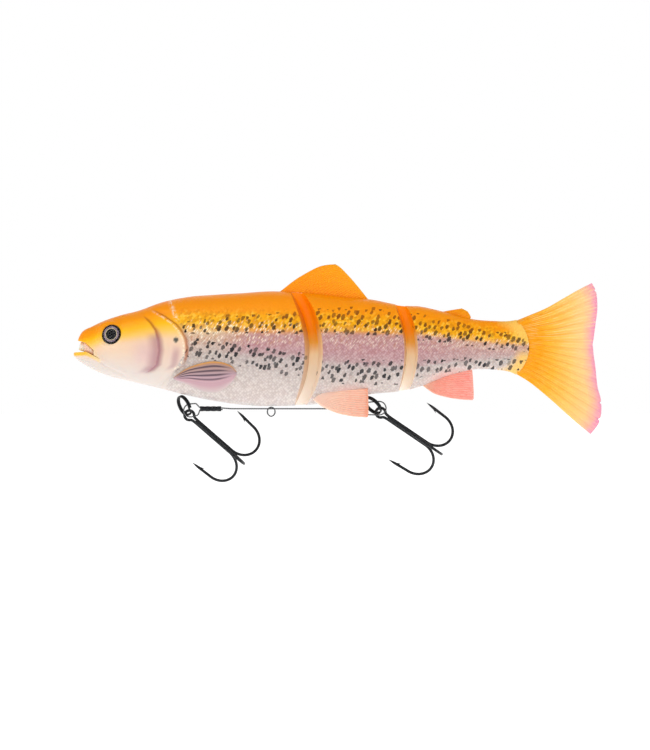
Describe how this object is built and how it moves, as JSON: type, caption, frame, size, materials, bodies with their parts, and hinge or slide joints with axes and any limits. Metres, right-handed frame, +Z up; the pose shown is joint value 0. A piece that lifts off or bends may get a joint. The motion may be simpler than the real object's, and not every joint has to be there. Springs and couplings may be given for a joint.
{
  "type": "jointed swimbait",
  "caption": "Jointed soft trout swimbait with a line tube through the head, a wire rig under the belly and treble hooks on split rings.",
  "frame": {"origin": "front end of the straight line tube, in the open mouth", "axes": "+X towards the tail, +Z up, -Y is the lure's left flank"},
  "size_m": [0.2004, 0.0285, 0.0829],
  "materials": {
    "back_skin": "satin",
    "web_skin": "satin",
    "netting": "matte",
    "tube_plastic": "satin",
    "lead": "matte",
    "magnet": "satin",
    "eye_foil": "polished",
    "eye_dome": "polished",
    "pectoral_skin": "satin",
    "orange_fin": "satin",
    "pink_fin": "satin",
    "tail_skin": "satin",
    "leader_steel": "satin",
    "black_nickel": "polished"
  },
  "bodies": {
    "front_section": {"front_body": "back_skin", "front_joint_web": "web_skin", "front_joint_mesh": "netting", "line_tube": "tube_plastic", "keel_weight": "lead", "front_hook_magnet": "magnet", "left_eye_disc": "eye_foil", "right_eye_disc": "eye_foil", "left_eye_lens": "eye_dome", "right_eye_lens": "eye_dome", "left_pectoral_fin": "pectoral_skin", "right_pectoral_fin": "pectoral_skin"},
    "middle_section": {"middle_body": "back_skin", "rear_joint_web": "web_skin", "rear_joint_mesh": "netting", "rear_hook_magnet": "magnet", "dorsal_fin": "orange_fin", "left_pelvic_fin": "pink_fin", "right_pelvic_fin": "pink_fin"},
    "tail_section": {"tail_body": "back_skin", "adipose_fin": "orange_fin", "anal_fin": "pink_fin"},
    "tail_fin": {"tail_fin": "tail_skin"},
    "front_ring": {"front_split_ring": "black_nickel"},
    "front_treble": {"front_double_hook": "black_nickel", "front_single_hook": "black_nickel"},
    "rear_ring": {"rear_split_ring": "black_nickel"},
    "rear_treble": {"rear_double_hook": "black_nickel", "rear_single_hook": "black_nickel"},
    "leader": {"leader_wire": "leader_steel", "front_crimp_sleeve": "black_nickel", "rear_crimp_sleeve": "black_nickel"},
    "tie_ring": {"line_tie_ring": "black_nickel"}
  },
  "joints": [
    {"name": "front_joint", "type": "hinge", "parent": "front_section", "child": "middle_section", "pos_m": [0.0874, 0, 0], "axis": [0, 0, 1], "range_deg": [-24, 24], "stiffness_Nm_per_rad": 0.03, "deforming": ["front_joint_web", "front_joint_mesh"]},
    {"name": "rear_joint", "type": "hinge", "parent": "middle_section", "child": "tail_section", "pos_m": [0.1242, 0, 0], "axis": [0, 0, 1], "range_deg": [-30, 30], "stiffness_Nm_per_rad": 0.02, "deforming": ["rear_joint_web", "rear_joint_mesh"]},
    {"name": "tail_fin_flex", "type": "hinge", "parent": "tail_section", "child": "tail_fin", "pos_m": [0.1675, 0, 0], "axis": [0, 0, 1], "range_deg": [-25, 25], "stiffness_Nm_per_rad": 0.005},
    {"name": "front_ring_swing", "type": "hinge", "parent": "front_section", "child": "front_ring", "pos_m": [0.0365, 0, -0.0188], "axis": [0, 1, 0], "range_deg": [-4, 4]},
    {"name": "front_treble_swing", "type": "hinge", "parent": "front_ring", "child": "front_treble", "pos_m": [0.03983, 0, -0.02572], "axis": [0, 1, 0], "range_deg": [-6, 75]},
    {"name": "rear_ring_swing", "type": "hinge", "parent": "middle_section", "child": "rear_ring", "pos_m": [0.1069, 0, -0.01945], "axis": [0, 1, 0], "range_deg": [-4, 4]},
    {"name": "rear_treble_swing", "type": "hinge", "parent": "rear_ring", "child": "rear_treble", "pos_m": [0.11248, 0, -0.02476], "axis": [0, 1, 0], "range_deg": [-6, 75]},
    {"name": "leader_swing", "type": "hinge", "parent": "front_section", "child": "leader", "pos_m": [0.0395, -0.0024, -0.0234], "axis": [0, 0, 1], "range_deg": [-8, 8]},
    {"name": "tie_ring_slide", "type": "slide", "parent": "leader", "child": "tie_ring", "axis": [1, 0, 0], "range_m": [-0.013, 0.0165]}
  ],
  "couplings": [
    {"joint": "leader_swing", "follows": "front_joint", "ratio": 0.33}
  ]
}
